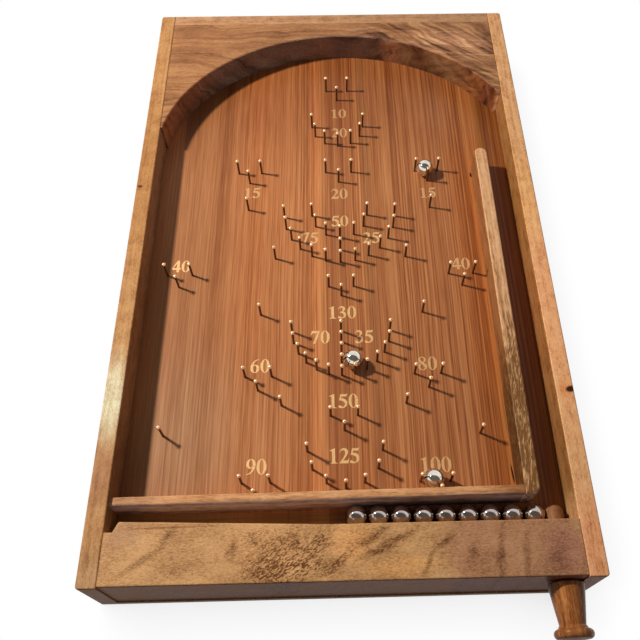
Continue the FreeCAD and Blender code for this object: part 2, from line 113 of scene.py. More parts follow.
class Look:
    """Lays out the nodes of one material or world, in millimetres."""

    def __init__(self, owner):
        owner.use_nodes = True
        self.owner = owner
        self.tree = owner.node_tree
        self.tree.nodes.clear()

    def add(self, kind, inputs=(), **settings):
        node = self.tree.nodes.new(kind)
        for key, value in settings.items():
            setattr(node, key, value)
        for key, value in dict(inputs).items():
            if isinstance(value, bpy.types.NodeSocket):
                self.tree.links.new(value, node.inputs[key])
            else:
                node.inputs[key].default_value = value
        return node

    def point(self):
        place = self.add("ShaderNodeTexCoord").outputs["Object"]
        return self.vector("MULTIPLY", place, (1 / MM, 1 / MM, 1 / MM))

    def split(self, vector):
        return self.add("ShaderNodeSeparateXYZ", {0: vector}).outputs

    def join(self, x, y, z=0.0):
        return self.add("ShaderNodeCombineXYZ", {0: x, 1: y, 2: z}).outputs[0]

    def math(self, operation, a, b=0.0, c=0.0):
        return self.add("ShaderNodeMath", {0: a, 1: b, 2: c}, operation=operation).outputs[0]

    def vector(self, operation, a, b=(0, 0, 0)):
        node = self.add("ShaderNodeVectorMath", {0: a, 1: b}, operation=operation)
        return node.outputs["Value" if operation == "LENGTH" else "Vector"]

    def scaled(self, vector, factor):
        node = self.add("ShaderNodeVectorMath", {0: vector, "Scale": factor}, operation="SCALE")
        return node.outputs["Vector"]

    def dot(self, a, b):
        return self.add("ShaderNodeVectorMath", {0: a, 1: b}, operation="DOT_PRODUCT").outputs["Value"]

    def noise(self, point, scales, **settings):
        """Noise whose blotches are 1 mm divided by the scale along each axis."""
        return self.plain_noise(self.vector("MULTIPLY", point, scales), **settings)

    def plain_noise(self, vector, detail=2.0, roughness=0.5, distortion=0.0, output="Fac"):
        inputs = {"Vector": vector, "Scale": 1.0, "Detail": detail, "Roughness": roughness,
                  "Distortion": distortion}
        return self.add("ShaderNodeTexNoise", inputs).outputs[output]

    def stretched(self, axes, sizes, **settings):
        """Noise whose blotches have these sizes along three coordinates."""
        scaled = [self.math("DIVIDE", axis, size) for axis, size in zip(axes, sizes)]
        return self.plain_noise(self.join(*scaled), **settings)

    def span(self, value, low, high, to_low=0.0, to_high=1.0):
        """Value eased from one span to another, and held at its ends."""
        return self.add("ShaderNodeMapRange", {0: value, 1: low, 2: high, 3: to_low, 4: to_high},
                        interpolation_type="SMOOTHSTEP").outputs[0]

    def mix(self, share, a, b, blend="MIX"):
        node = self.add("ShaderNodeMix", {0: share, 6: a, 7: b}, data_type="RGBA", blend_type=blend)
        return node.outputs[2]

    def tint(self, colour, share, gains):
        """Colour multiplied by gains as far as the share goes."""
        return self.mix(share, colour, (*gains, 1.0), "MULTIPLY")

    def shade(self, colour, value, amount):
        """Colour made lighter and darker by a value round 0.5."""
        factor = self.math("MULTIPLY_ADD", value, 2 * amount, 1 - amount)
        return self.mix(1.0, colour, factor, "MULTIPLY")

    def weigh(self, *parts):
        """0.5 plus each value's distance from 0.5, times its weight."""
        total = 0.5 - 0.5 * sum(weight for _, weight in parts)
        for value, weight in parts:
            total = self.math("MULTIPLY_ADD", value, weight, total)
        return total

    def ramp(self, value, stops):
        """Colour along a list of (position, colour)."""
        node = self.add("ShaderNodeValToRGB", {0: value})
        elements = node.color_ramp.elements
        while len(elements) < len(stops):
            elements.new(0.5)
        for element, (position, colour) in zip(elements, stops):
            element.position, element.color = position, colour
        return node.outputs[0]

    def stain(self, point, centre, size, angle=0.0, ragged=0.0, soft=0.6):
        """1 at the heart of an oval and 0 outside it. Centre, half sizes and ragged edge are in mm."""
        if ragged:
            shake = self.noise(point, ragged_scales, detail=3.0, output="Color")
            shake = self.vector("SUBTRACT", shake, (0.5, 0.5, 0.5))
            point = self.vector("ADD", point, self.vector("MULTIPLY", shake, (2 * ragged, 2 * ragged, 0)))
        local = self.add("ShaderNodeMapping", {0: point, 1: (*centre, 0), 2: (0, 0, math.radians(angle)),
                                               3: (*size, 1e6)}, vector_type="TEXTURE").outputs[0]
        return self.span(self.vector("LENGTH", local), 1.0, 1.0 - soft)

    def facing(self, direction):
        """1 where the surface faces a direction of the board's frame, and 0 where it is well turned away."""
        normal = self.add("ShaderNodeNewGeometry").outputs["True Normal"]
        return self.span(self.dot(normal, direction), *facing_span)

    def finish(self, colour, roughness, relief=None, depth=0.0, **sockets):
        """The surface shader and the output. Depth is the height of the relief, in mm."""
        inputs = {"Base Color": colour, "Roughness": roughness}
        inputs.update({key.replace("_", " "): value for key, value in sockets.items()})
        if relief is not None:
            distance = depth * MM
            bump = self.add("ShaderNodeBump", {"Height": relief, "Distance": distance, "Strength": 1.0})
            inputs["Normal"] = bump.outputs[0]
        shader = self.add("ShaderNodeBsdfPrincipled", inputs)
        self.add("ShaderNodeOutputMaterial", {0: shader.outputs[0]})
        return self.owner


# ---- wood: sizes in mm, and spans of noise, that all boards share ----
wander_width = 55.0
ring_depth = 90.0
wave_drift = 40.0
wave_depth = 60.0
wave_middle = 0.54
crinkle_depth = 2.0
crinkle_span = (0.66, 0.38)
tone_stops = (0.24, 0.50, 0.76)
pore_size = (0.6, 4.0, 0.6)
pore_span = (0.58, 0.72)
relief_depth = 0.06
seam_width = 0.7
seam_blur = 0.6
seam_strength = (0.6, 0.25)
seam_tone = swatch(62, 36, 22)


def patch(centre, size, angle=0.0, ragged=0.0, dip=0.0, crinkled=0.0, gains=None, soft=0.8, facing=None):
    """A figured or tinted oval of a board, in mm: it lowers the tone by dip, crinkled or smooth, and
    multiplies the colour by gains, on the faces turned one way if a direction is given."""
    return {"oval": (centre, size, angle, ragged, soft), "dip": dip, "crinkled": crinkled, "gains": gains,
            "facing": facing}


def waved(look, point, value, drift, depth, waves):
    """Tone of the wood with bands of figure laid over it."""
    spacing, length, angle, start, end, strength = waves
    cosine, sine = math.cos(math.radians(angle)), math.sin(math.radians(angle))
    down = look.dot(point, (cosine, sine, 0))
    over = look.math("MULTIPLY_ADD", drift, wave_drift, look.dot(point, (-sine, cosine, 0)))
    wave = look.stretched((over, down, depth), (spacing, length, wave_depth), detail=3.0, distortion=0.4)
    share = look.math("MULTIPLY", look.span(look.split(point)[0], start, end), strength)
    return look.math("MULTIPLY_ADD", look.math("SUBTRACT", wave, wave_middle), share, value)


def crinkles(look, point, depth, ripple):
    """1 on the light marks of a crinkled figure, and 0 on its dark ones."""
    angle, length, width = ripple
    cosine, sine = math.cos(math.radians(angle)), math.sin(math.radians(angle))
    rising = look.dot(point, (cosine, sine, 0))
    falling = look.dot(point, (-sine, cosine, 0))
    marks = look.stretched((rising, falling, depth), (length, width, crinkle_depth),
                           detail=3.0, distortion=1.3)
    return look.span(marks, *crinkle_span)


def patched(look, point, value, depth, ripple, patches):
    """Tone of the wood lowered by its patches, and the share and gains of those that tint it."""
    tinted = []
    crinkle = crinkles(look, point, depth, ripple) if any(piece["crinkled"] for piece in patches) else None
    for piece in patches:
        share = look.stain(point, *piece["oval"])
        if piece["crinkled"]:
            marked = look.math("MULTIPLY", share, crinkle)
            share = look.math("MULTIPLY_ADD", marked, -piece["crinkled"], share)
        if piece["facing"]:
            share = look.math("MULTIPLY", share, look.facing(piece["facing"]))
        if piece["dip"]:
            value = look.math("MULTIPLY_ADD", share, -piece["dip"], value)
        if piece["gains"]:
            tinted.append((share, piece["gains"]))
    return value, tinted


def seam(look, x, faces):
    """Strength of the thin dark line where a board meets the side rails, on the faces named: it is
    weaker at the right."""
    start = inner_half - seam_width
    edge = look.span(look.math("ABSOLUTE", x), start, start + seam_blur)
    line = look.math("MULTIPLY", edge, look.span(x, -100.0, 100.0, *seam_strength))
    shown = look.facing(faces[0])
    for direction in faces[1:]:
        shown = look.math("ADD", shown, look.facing(direction))
    return look.math("MULTIPLY", line, shown)


def wood(name, grain, tones, rings=(9.0, 6.0, 150.0, 0.5), flecks=(3.0, 1.0, 0.5), clouds=(24.0, 0.4),
         pores=0.3, roughness=0.42, seams=(), waves=None, ripple=(32.0, 3.6, 1.5), foot=None, patches=(),
         faces=(), seed=0.0):
    """Oiled hardwood with its grain along X or Y. Tones run from dark to light, and sizes are in mm.

    rings are (spacing, wander, length of a wander, strength), flecks (length, width, strength) and
    clouds (size, strength). waves are bands of figure: (spacing, length, angle, from x, to x, strength).
    ripple is (angle, length, width) of the marks in crinkled patches. seams are the faces that show a
    dark line at the rails. foot is painted shade low on a piece: (lowest z, z where it ends, gains). Each
    of faces is a direction and its gains: painted light and shade on the faces that look that way.
    """
    look = Look(bpy.data.materials.new(name))
    point = look.point()
    x, y, z = look.split(point)
    along, across = (x, y) if grain == "X" else (y, x)
    depth = look.math("ADD", z, seed)
    spacing, wander, wander_length, ring_strength = rings
    drift = look.stretched((along, across, depth), (wander_length, wander_width, wander_width), detail=3.0)
    ring = look.math("ADD", look.math("MULTIPLY_ADD", drift, 2 * wander, across),
                     look.math("MULTIPLY", depth, 0.5))
    lines = look.stretched((ring, along, depth), (spacing, 3 * wander_length, ring_depth),
                           detail=4.0, roughness=0.6)
    fleck_length, fleck_width, fleck_strength = flecks
    fleck = look.stretched((along, across, depth), (fleck_length, fleck_width, 1.5 * fleck_width),
                           detail=3.0, roughness=0.6, distortion=0.5)
    cloud_size, cloud_strength = clouds
    cloud = look.stretched((along, across, depth), (1.6 * cloud_size, cloud_size, cloud_size), detail=2.0)
    value = look.weigh((lines, ring_strength), (fleck, fleck_strength), (cloud, cloud_strength))
    if waves:
        value = waved(look, point, value, drift, depth, waves)
    value, tinted = patched(look, point, value, depth, ripple, patches)
    colour = look.ramp(value, list(zip(tone_stops, tones)))
    pore = look.span(look.stretched((across, along, depth), pore_size, detail=1.0), *pore_span)
    colour = look.mix(look.math("MULTIPLY", pore, pores), colour, tones[0])
    # tints of the patches, then painted light and shade by the way each face looks
    for share, gains in tinted + [(look.facing(direction), gains) for direction, gains in faces]:
        colour = look.tint(colour, share, gains)
    # painted shade towards the foot of the piece
    if foot:
        lowest, ending, gains = foot
        colour = look.tint(colour, look.span(z, ending, lowest), gains)
    if seams:
        colour = look.mix(seam(look, x, seams), colour, seam_tone)
    relief = look.math("SUBTRACT", look.math("MULTIPLY", fleck, 0.6), pore)
    gloss = look.math("MULTIPLY_ADD", cloud, 0.16, roughness - 0.08)
    sheen = look.math("MULTIPLY_ADD", look.facing(front), -0.10, 0.12)
    return look.finish(colour, gloss, relief, relief_depth, Specular_IOR_Level=sheen)


def frame_wood(name, seed, tones, patches=(), faces=(), grain="Y"):
    """Golden mottled boards of the frame."""
    return wood(name, grain, tones, rings=(3.0, 6.0, 90.0, 0.5), flecks=(2.4, 1.0, 0.6), clouds=(7.0, 0.5),
                pores=0.2, seed=seed, patches=patches, faces=faces, seams=[top] if grain == "X" else ())


def block_wood():
    """Front plank: golden and speckled, crinkled dark figure at its middle, redder towards the right."""
    tones = (swatch(112, 70, 38), swatch(208, 158, 108), swatch(242, 194, 140))
    patches = [
        patch((-120, -253), (14, 4.4), 53, 2.0, dip=0.17, soft=1.0),
        patch((-138, -270), (24, 4.4), 33, 2.0, dip=0.17, soft=1.0),
        patch((-75, -261), (13, 5.0), 71, 2.5, dip=0.24, crinkled=0.5, soft=1.0),
        patch((-62, -254), (16, 7), 30, 5.0, dip=0.18, crinkled=0.9, soft=1.0),
        patch((-38, -266), (44, 26), 0, 8.0, dip=0.26, crinkled=1.0, soft=0.9),
        patch((-42, -277), (38, 13), 2, 6.0, dip=0.36, crinkled=1.0, soft=1.0),
        patch((-14, -256), (22, 9), 50, 4.0, dip=0.24, crinkled=0.9, soft=1.0),
        patch((22, -255), (18, 4.6), 38, 2.0, dip=0.26, crinkled=0.6, soft=1.0),
        patch((0, -269), (24, 5.2), 37, 2.5, dip=0.28, crinkled=0.7, soft=1.0),
        patch((38, -257), (28, 4.0), 24, 2.0, dip=0.34, crinkled=0.6, soft=1.0),
        patch((25, -265), (24, 3.2), 15, 2.0, dip=0.24, crinkled=0.6, soft=1.0),
        patch((58, -272), (16, 3.4), 68, 1.5, dip=0.18, soft=1.0),
        patch((68, -261), (14, 3.4), 38, 1.5, dip=0.16, soft=1.0),
        patch((87, -268), (28, 6.0), 66, 3.0, dip=0.08, soft=1.0),
        patch((107, -268), (28, 4.2), 80, 4.0, dip=0.17, soft=1.0),
        patch((124, -268), (30, 4.6), 84, 4.0, dip=0.18, soft=1.0),
        patch((118, -262), (60, 60), 0, 8.0, gains=(0.80, 0.73, 0.86), soft=0.4),
        patch((152, -268), (24, 26), 0, 6.0, gains=(0.92, 0.84, 1.0)),
        patch((6, -258), (24, 20), 20, 6.0, gains=(1.32, 1.24, 1.14)),
        patch((40, -275), (36, 9), 4, 4.0, gains=(1.22, 1.16, 1.02)),
        patch((-50, -262), (44, 26), 0, 6.0, gains=(1.14, 1.12, 1.12)),
        patch((-118, -246), (44, 1.2), 1, 0.8, gains=(0.62, 0.50, 0.42)),
        patch((-110, -244), (52, 1.6), 1, 0.8, gains=(0.84, 0.80, 0.80)),
        patch((-150, -250), (16, 14), 0, 4.0, gains=(0.80, 0.77, 0.88)),
    ]
    # the front face is darkened through faces: painted shade
    return wood("block_wood", "X", tones, rings=(7.0, 12.0, 50.0, 0.15), flecks=(1.8, 0.9, 0.62),
                clouds=(16.0, 0.36), pores=0.2, seams=[top, front], waves=(8.0, 60.0, 76.0, 46.0, 80.0, 0.28),
                patches=patches, faces=[(front, (0.61, 0.43, 0.39))], seed=31.0)


def arch_wood():
    """Arch board: plain at the left, with a dark swirl towards its right corner."""
    tones = (swatch(84, 50, 28), swatch(168, 116, 78), swatch(212, 160, 112))
    left_wall, right_wall = (0.7, -0.7, 0), (-0.7, -0.7, 0)
    patches = [
        patch((56, 249), (30, 10), -18, 8.0, dip=0.24, soft=1.0, facing=top),
        patch((76, 262), (26, 7), -8, 4.0, dip=0.18, soft=1.0, facing=top),
        patch((100, 240), (36, 4), -38, 3.0, dip=0.22, soft=1.0, facing=top),
        patch((132, 205), (42, 9), -46, 4.0, dip=0.15, soft=1.0, facing=top),
        patch((120, 236), (70, 36), 0, 8.0, gains=(1.45, 1.55, 1.86), facing=top),
        patch((54, 248), (20, 8), -18, 6.0, gains=(0.62, 0.56, 0.6), facing=top),
        patch((84, 253), (18, 7), -30, 3.0, gains=(1.36, 1.42, 1.44), facing=top),
        patch((30, 260), (22, 8), 0, 4.0, gains=(1.18, 1.28, 1.44), facing=top),
        # patches on the inner walls and the front: the walls' figure, with painted light and shade
        patch((-150, 176), (26, 40), 0, 4.0, gains=(0.86, 0.94, 1.20), facing=left_wall),
        patch((60, 244), (16, 10), 0, 3.0, gains=(1.5, 1.4, 1.5), facing=front),
        patch((26, 248), (34, 14), 0, 3.0, gains=(0.68, 0.76, 1.06), soft=0.5, facing=front),
        patch((88, 234), (10, 10), 0, 2.0, gains=(0.76, 0.66, 0.7), facing=right_wall),
        patch((142, 195), (7, 9), 0, 2.0, gains=(1.24, 1.30, 1.3), facing=right_wall),
        patch((130, 206), (22, 16), -40, 4.0, gains=(1.10, 1.07, 1.05), facing=right_wall),
        patch((152, 181), (10, 14), 0, 2.0, gains=(0.76, 0.80, 1.08), facing=right_wall),
        patch((157, 177), (6, 12), 0, 1.0, gains=(0.50, 0.50, 0.66), facing=right_wall),
        patch((163, 172), (4, 18), 0, 1.0, gains=(1.8, 2.3, 2.8), facing=right_wall),
        # painted light on the front end of the right leg
        patch((158, 172), (8, 16), 0, 1.0, gains=(3.6, 4.6, 5.0), facing=front),
    ]
    return wood("arch_wood", "X", tones, rings=(5.0, 26.0, 120.0, 0.7), flecks=(4.0, 1.0, 0.36),
                clouds=(20.0, 0.3), seams=[top], waves=(5.0, 60.0, -36.0, 20.0, 60.0, 1.0), patches=patches,
                # faces: painted light and shade on the front and the inner walls
                faces=[(front, (0.65, 1.08, 1.88)), (left_wall, (1.20, 1.08, 1.06)),
                       (right_wall, (0.98, 0.60, 0.36))], seed=7.0)


def strip_wood(name, grain, tones, seed, patches=(), faces=(), ripple=(32.0, 3.6, 1.5), foot=None):
    """Divider and fence strips."""
    return wood(name, grain, tones, rings=(2.2, 4.0, 40.0, 0.7), flecks=(7.0, 0.8, 0.5), clouds=(10.0, 0.4),
                pores=0.35, seed=seed, ripple=ripple, foot=foot, patches=patches, faces=faces)


# ---- veneer and ply: leaf bands are (middle, half width, gain) across the leaves, rail shadow tints
# are (from y, to y, gains) of painted light and shade in the band of the left rail's shadow, and cracks
# are (centre, half sizes) ----
leaf_width = 154.0
leaf_joint = -9.5
leaf_bands = ((-75.0, 9.0, 1.12), (-18.5, 5.0, 1.26), (2.0, 9.0, 0.92), (30.0, 5.0, 0.76),
              (46.0, 9.0, 0.92), (74.0, 20.0, 0.94), (101.0, 6.0, 0.90))
leaf_depth = 50.0
rail_shadow_tints = ((-130.0, -210.0, (0.70, 0.74, 0.76)), (-60.0, 115.0, (1.55, 1.62, 1.85)))
cracks = (((129.0, 87.0), (1.1, 3.4)), ((128.6, -205.0), (0.8, 9.0)))
ply_thickness = 1.2


def veneer_stripes(look, x, y, z, across):
    """Colour of the stripes, with the broad streaks and the fine threads that they are made of."""
    broad = look.stretched((across, y, z), (16.0, 1500.0, leaf_depth), detail=3.0, roughness=0.55)
    stripes = look.stretched((across, y, z), (1.4, 500.0, leaf_depth), detail=3.0, roughness=0.6)
    threads = look.stretched((across, y, z), (0.9, 34.0, leaf_depth), detail=2.0)
    stripe_strength = look.span(x, -110.0, 30.0, 0.5, 1.2)
    fine = look.math("MULTIPLY", look.math("SUBTRACT", threads, 0.5), 0.42)
    fine = look.math("MULTIPLY_ADD", look.math("SUBTRACT", stripes, 0.5), stripe_strength, fine)
    value = look.math("ADD", look.weigh((broad, 0.55)), fine)
    colour = look.ramp(value, [(0.18, swatch(120, 64, 30)), (0.38, swatch(166, 100, 57)),
                               (0.52, swatch(190, 121, 75)), (0.66, swatch(206, 138, 88)),
                               (0.84, swatch(222, 158, 104))])
    return colour, broad, threads


def veneer():
    """Straight-striped reddish veneer, laid in two leaves that meet left of the centre line, with light and
    dark areas from its left rail to its lane and from trough to arch: painted light and shade in the left
    rail's shadow band, on the lane and behind the balls, and a painted sheen at the lower left."""
    look = Look(bpy.data.materials.new("field_veneer"))
    point = look.point()
    x, y, z = look.split(point)
    sway = look.stretched((x, y, z), (90.0, 340.0, leaf_depth), detail=2.0)
    across = look.math("MULTIPLY_ADD", sway, 6.0, x)
    colour, broad, threads = veneer_stripes(look, x, y, z, across)

    # the trough's floor is plainer and runs the other way
    plain = look.ramp(look.stretched((y, x, z), (2.2, 60.0, leaf_depth), detail=3.0),
                      [(0.3, swatch(150, 92, 52)), (0.7, swatch(204, 134, 84))])
    colour = look.mix(look.span(y, trough_back + 1.0, trough_back - 1.0, 0.0, 0.85), colour, plain)

    # edges and bands of the leaves
    leaf = look.math("FLOORED_MODULO", look.math("SUBTRACT", x, leaf_joint), leaf_width)
    pale_edge = look.span(leaf, leaf_width - 9.0, leaf_width - 2.0)
    colour = look.mix(look.math("MULTIPLY", pale_edge, 0.4), colour, swatch(212, 146, 92))
    ruddy_edge = look.span(leaf, 34.0, 0.0)
    colour = look.mix(look.math("MULTIPLY", ruddy_edge, 0.3), colour, swatch(150, 84, 52))
    for middle, half_width, gain in leaf_bands:
        away = look.math("ABSOLUTE", look.math("SUBTRACT", across, middle + 3.0))
        colour = look.tint(colour, look.span(away, 1.4 * half_width, 0.5 * half_width), (gain, gain, gain))

    # left side: darker and less red towards the rail, and painted light and shade in the band of the rail's
    # shadow
    colour = look.tint(colour, look.span(x, -70.0, -130.0), (0.81, 0.88, 0.95))
    colour = look.tint(colour, look.span(x, -142.0, -152.0), (1.30, 1.26, 1.10))
    in_rail_shadow = look.span(x, -140.0, -150.0)
    for near_end, far_end, gains in rail_shadow_tints:
        share = look.math("MULTIPLY", in_rail_shadow, look.span(y, near_end, far_end))
        colour = look.tint(colour, share, gains)

    # painted sheen at the lower left, a pale area at the upper right, darker towards the right side and the
    # back, then painted shade on the lane
    colour = look.tint(colour, look.stain(point, (-104, -180), (74, 120), soft=1.0), (1.07, 1.28, 1.52))
    colour = look.tint(colour, look.stain(point, (120, 190), (50, 90), soft=1.0), (1.14, 1.32, 1.7))
    colour = look.tint(colour, look.span(x, 96.0, 124.0), (0.93, 0.81, 0.58))
    colour = look.tint(colour, look.span(y, 60.0, 215.0), (0.71, 0.61, 0.50))
    # painted shade on the lane, deepening the divider's shadow
    colour = look.tint(colour, look.span(x, divider_right - 2.0, divider_right), (0.70, 0.74, 0.69))

    # trough: browner, and darkest where the balls lie, with painted shade
    in_trough = look.span(y, trough_back, trough_back - 4.0)
    colour = look.tint(colour, in_trough, (0.76, 0.95, 0.78))
    shade_behind_balls = look.math("MULTIPLY", look.span(x, -15.0, 25.0), in_trough)
    shade_behind_balls = look.math("MULTIPLY", shade_behind_balls, look.span(x, 140.0, 128.0))
    colour = look.tint(colour, shade_behind_balls, (0.34, 0.26, 0.22))

    # dark hairs of the grain, and two cracks beside the divider
    hair = look.span(look.stretched((across, y, z), (0.9, 90.0, leaf_depth), detail=1.0), 0.62, 0.72)
    hair = look.math("MULTIPLY", hair, look.span(x, -140.0, -50.0, 0.1, 0.4))
    colour = look.mix(hair, colour, swatch(104, 54, 28))
    for centre, size in cracks:
        colour = look.mix(look.stain(point, centre, size, 4, soft=0.4), colour, swatch(40, 16, 8))
    gloss = look.math("MULTIPLY_ADD", broad, 0.14, 0.30)
    return look.finish(colour, gloss, threads, 0.03, Specular_IOR_Level=0.2)


def ply():
    """Base board: thin plies show at its edges."""
    look = Look(bpy.data.materials.new("base_ply"))
    x, y, z = look.split(look.point())
    plies = look.math("SINE", look.math("MULTIPLY", z, math.pi / ply_thickness))
    grain = look.stretched((x, y, z), (1.2, 60.0, 1.2), detail=4.0)
    colour = look.ramp(grain, [(0.3, swatch(120, 84, 58)), (0.7, swatch(176, 134, 96))])
    colour = look.shade(colour, look.math("MULTIPLY_ADD", plies, 0.5, 0.5), 0.14)
    return look.finish(colour, 0.6, grain, 0.05, Specular_IOR_Level=0.2)


# ---- metal and paint ----
def brass_pins():
    """Bright domed heads on dark brown shanks, whose dark colour is painted shade and reflection."""
    look = Look(bpy.data.materials.new("pin_brass"))
    point = look.point()
    x, y, z = look.split(point)
    head_foot = pin_top - pin_head_height
    head = look.span(z, head_foot - 0.15, head_foot + 0.05)
    tarnish = look.noise(point, (0.8, 0.8, 0.8), detail=3.0)
    bright = look.ramp(tarnish, [(0.3, swatch(236, 184, 138)), (0.7, swatch(252, 208, 164))])
    # shank colour: painted shade and reflection of the field
    dull = look.ramp(tarnish, [(0.3, swatch(70, 42, 22)), (0.7, swatch(118, 80, 46))])
    roughness = look.span(tarnish, 0.2, 0.8, 0.30, 0.46)
    metal = look.math("MULTIPLY_ADD", head, 0.35, 0.45)
    return look.finish(look.mix(head, dull, bright), roughness, tarnish, 0.01, Metallic=metal)


def chrome():
    """Polished steel balls with fine rolling scratches. Those of the trough are darker: painted shade."""
    look = Look(bpy.data.materials.new("ball_steel"))
    point = look.point()
    y = look.split(point)[1]
    scratches = look.noise(point, (2.0, 9.0, 2.0), detail=4.0, distortion=1.5)
    smears = look.noise(point, (0.25, 0.25, 0.25), detail=3.0)
    colour = look.ramp(smears, [(0.3, swatch(207, 201, 189)), (0.7, swatch(239, 232, 219))])
    in_trough = look.span(y, trough_back + 2.0, trough_back - 2.0)
    # painted shade on the balls in the trough
    colour = look.tint(colour, in_trough, (0.67, 0.62, 0.65))
    roughness = look.span(smears, 0.3, 0.75, 0.03, 0.10)
    return look.finish(colour, roughness, scratches, 0.004, Metallic=1.0)


def zinc():
    """Plated screws, nails, washer, cross pin and spring."""
    look = Look(bpy.data.materials.new("steel"))
    point = look.point()
    brushed = look.noise(point, (1.5, 6.0, 1.5), detail=3.0)
    colour = look.ramp(brushed, [(0.3, swatch(150, 150, 148)), (0.7, swatch(196, 196, 192))])
    return look.finish(colour, look.span(brushed, 0.2, 0.8, 0.25, 0.45), brushed, 0.01, Metallic=1.0)


def gold_paint():
    """Worn gold of the numerals, duller towards the back and the right: a painted sheen that fades there."""
    look = Look(bpy.data.materials.new("gold_paint"))
    point = look.point()
    x, y, z = look.split(point)
    wear = look.noise(point, (0.9, 0.5, 0.9), detail=4.0, roughness=0.65)
    colour = look.ramp(wear, [(0.28, swatch(188, 132, 76)), (0.42, swatch(238, 188, 126)),
                              (0.75, swatch(252, 214, 156))])
    # painted sheen: brighter at the front left, fading towards the back and the right
    sheen_fade = look.math("MAXIMUM", look.span(y, -60.0, 150.0), look.span(x, -20.0, 80.0, 0.0, 0.5))
    colour = look.mix(look.math("MULTIPLY", sheen_fade, 0.55), colour, swatch(172, 116, 72))
    return look.finish(colour, look.span(wear, 0.3, 0.8, 0.5, 0.36), wear, 0.02, Metallic=0.2)


# ---- the finish of each node, or of its slot. Tones run from dark to light ----
# the left rail's tones are darker and the right rail's lighter: partly the boards' own tones, partly painted
# shade and light that even out the key lamp's fall-off
left_tones = (swatch(146, 96, 53), swatch(191, 140, 90), swatch(214, 166, 114))
back_tones = (swatch(140, 93, 57), swatch(195, 146, 108), swatch(219, 171, 129))
right_tones = (swatch(176, 116, 70), swatch(244, 182, 128), swatch(255, 212, 160))
fence_tones = (swatch(120, 74, 41), swatch(219, 158, 109), swatch(248, 195, 146))
divider_tones = (swatch(140, 90, 52), swatch(238, 182, 134), swatch(255, 212, 168))
handle_tones = (swatch(58, 31, 16), swatch(156, 94, 50), swatch(224, 150, 88))
rod_tones = (swatch(96, 58, 34), swatch(154, 104, 68), swatch(186, 130, 90))
bearer_tones = (swatch(140, 100, 62), swatch(190, 148, 104), swatch(214, 176, 130))
node_materials = {
    "left_rail": frame_wood("left_rail_wood", 0.0, left_tones, [
        patch((-174, 56), (3.0, 1.9), 0, 0.4, gains=(0.22, 0.18, 0.15), soft=0.5, facing=top),
        # painted highlight: a sheen on the top of the rail
        patch((-171, -148), (14, 50), 0, 5.0, gains=(1.45, 2.5, 4.2), facing=top),
        patch((-170, -208), (20, 28), 0, 6.0, gains=(0.84, 0.76, 0.80), facing=top),
        patch((-170, -278), (20, 26), 0, 3.0, gains=(1.04, 1.16, 1.40), facing=top),
        # painted shade and light on the inner wall: darker at the front, lighter further back
        patch((-163, -205), (10, 60), 0, 0.0, gains=(0.70, 0.72, 0.76), facing=rightward),
        patch((-163, 80), (10, 150), 0, 0.0, gains=(1.22, 1.50, 1.95), facing=rightward),
        patch((-170, 60), (20, 110), 0, 6.0, gains=(0.90, 0.84, 0.80)),
    # faces: painted shade on the inner wall and the front end
    ], [(rightward, (0.86, 0.82, 0.86)), (front, (0.7, 0.56, 0.5))]),
    "right_rail": frame_wood("right_rail_wood", 40.0, right_tones, [
        patch((175, -149), (5.0, 3.4), 10, 0.6, gains=(0.05, 0.03, 0.03), soft=0.5, facing=top),
        patch((172, -149), (11, 9), 0, 2.0, gains=(0.90, 0.74, 0.62), facing=top),
        patch((171, -80), (20, 150), 0, 6.0, gains=(1.16, 1.07, 1.10)),
        patch((171, -262), (20, 48), 0, 6.0, gains=(1.06, 0.92, 0.94)),
        patch((171, 40), (20, 70), 0, 6.0, gains=(1.06, 1.06, 0.94)),
        # painted light on the inner wall near the front
        patch((163, -242), (10, 24), 0, 3.0, gains=(1.7, 2.2, 3.0), facing=leftward),
    # faces: painted shade on the inner wall and the front end
    ], [(leftward, (0.45, 0.385, 0.265)), (front, (0.5, 0.42, 0.5))]),
    "back_rail": frame_wood("back_rail_wood", 80.0, back_tones, grain="X"),
    "front_block": block_wood(),
    "arch_block": arch_wood(),
    "playfield_panel": veneer(),
    "base_panel": ply(),
    "lane_divider": strip_wood("divider_wood", "Y", divider_tones, 12.0, [
        patch((136.5, -176), (12, 112), 0, 3.0, dip=0.46, crinkled=0.7, gains=(0.88, 1.04, 1.0), soft=0.6),
        # painted shade on the divider's left face
        patch((131, -180), (8, 124), 0, 3.0, gains=(0.66, 0.74, 0.68), soft=0.9, facing=leftward),
    # faces: painted shade on the left face, painted light on the front end
    ], [(leftward, (0.42, 0.31, 0.22)), (front, (1.7, 2.6, 5.0))], ripple=(80.0, 9.0, 1.3)),
    "trough_fence": strip_wood("fence_wood", "X", fence_tones, 55.0, [
        # painted shade on the fence beside the divider, behind the last balls
        patch((128, -222), (26, 12), 0, 4.0, gains=(0.60, 0.50, 0.44)),
        patch((-152, -224), (34, 10), 0, 4.0, gains=(0.76, 0.78, 0.86)),
        # painted shade on the fence's front face behind the balls
        patch((68, -228), (76, 12), 0, 0.0, gains=(0.60, 0.48, 0.42), facing=front),
    # faces: painted light on the front face; foot: painted shade low on the fence
    ], [(front, (1.08, 1.80, 3.9))], foot=(field_z, field_z + 13.0, (0.50, 0.45, 0.42))),
    "plunger_handle": wood("handle_wood", "Y", handle_tones, rings=(4.0, 3.0, 60.0, 0.9),
                           flecks=(5.0, 0.9, 0.5), clouds=(14.0, 0.3), roughness=0.30, seed=3.0),
    "plunger_rod": wood("rod_wood", "Y", rod_tones, rings=(4.0, 2.0, 60.0, 0.4), flecks=(5.0, 0.9, 0.4),
                        clouds=(12.0, 0.3), seed=9.0),
}
